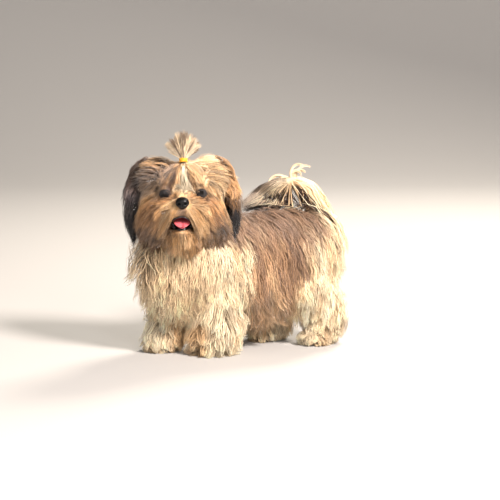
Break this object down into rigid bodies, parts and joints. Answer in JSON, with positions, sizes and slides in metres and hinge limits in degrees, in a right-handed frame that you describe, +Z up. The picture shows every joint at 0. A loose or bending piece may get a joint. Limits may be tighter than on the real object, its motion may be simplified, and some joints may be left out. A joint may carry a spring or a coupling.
{
  "type": "dog figure",
  "caption": "Life-size shih tzu, long-coated, standing with its head turned to its left, topknot tied in a band and tail plume over its back.",
  "frame": {"origin": "on the floor, under the middle of the whole figure's box", "axes": "-Y ahead of the body, +X to the dog's left, +Z up"},
  "size_m": [0.2036, 0.4356, 0.3993],
  "materials": {
    "coat_cream": "long soft hair",
    "coat_gold": "long soft hair",
    "coat_grey": "long soft hair",
    "coat_dark": "long soft hair",
    "nose": "moist, pebbled",
    "eye": "polished",
    "tongue": "moist",
    "band": "woven elastic"
  },
  "bodies": {
    "root": {"torso": "coat_grey", "neck": "coat_gold", "head": "coat_gold", "jaw": "coat_gold", "nose": "nose", "eye_left": "eye", "eye_right": "eye", "ear_left": "coat_dark", "ear_right": "coat_dark", "topknot": "coat_cream", "hair_band": "band", "tongue": "tongue", "foreleg_left": "coat_cream", "foreleg_right": "coat_cream", "hindleg_left": "coat_cream", "hindleg_right": "coat_cream", "tail_root": "coat_cream", "tail_plume": "coat_cream"}
  },
  "joints": []
}
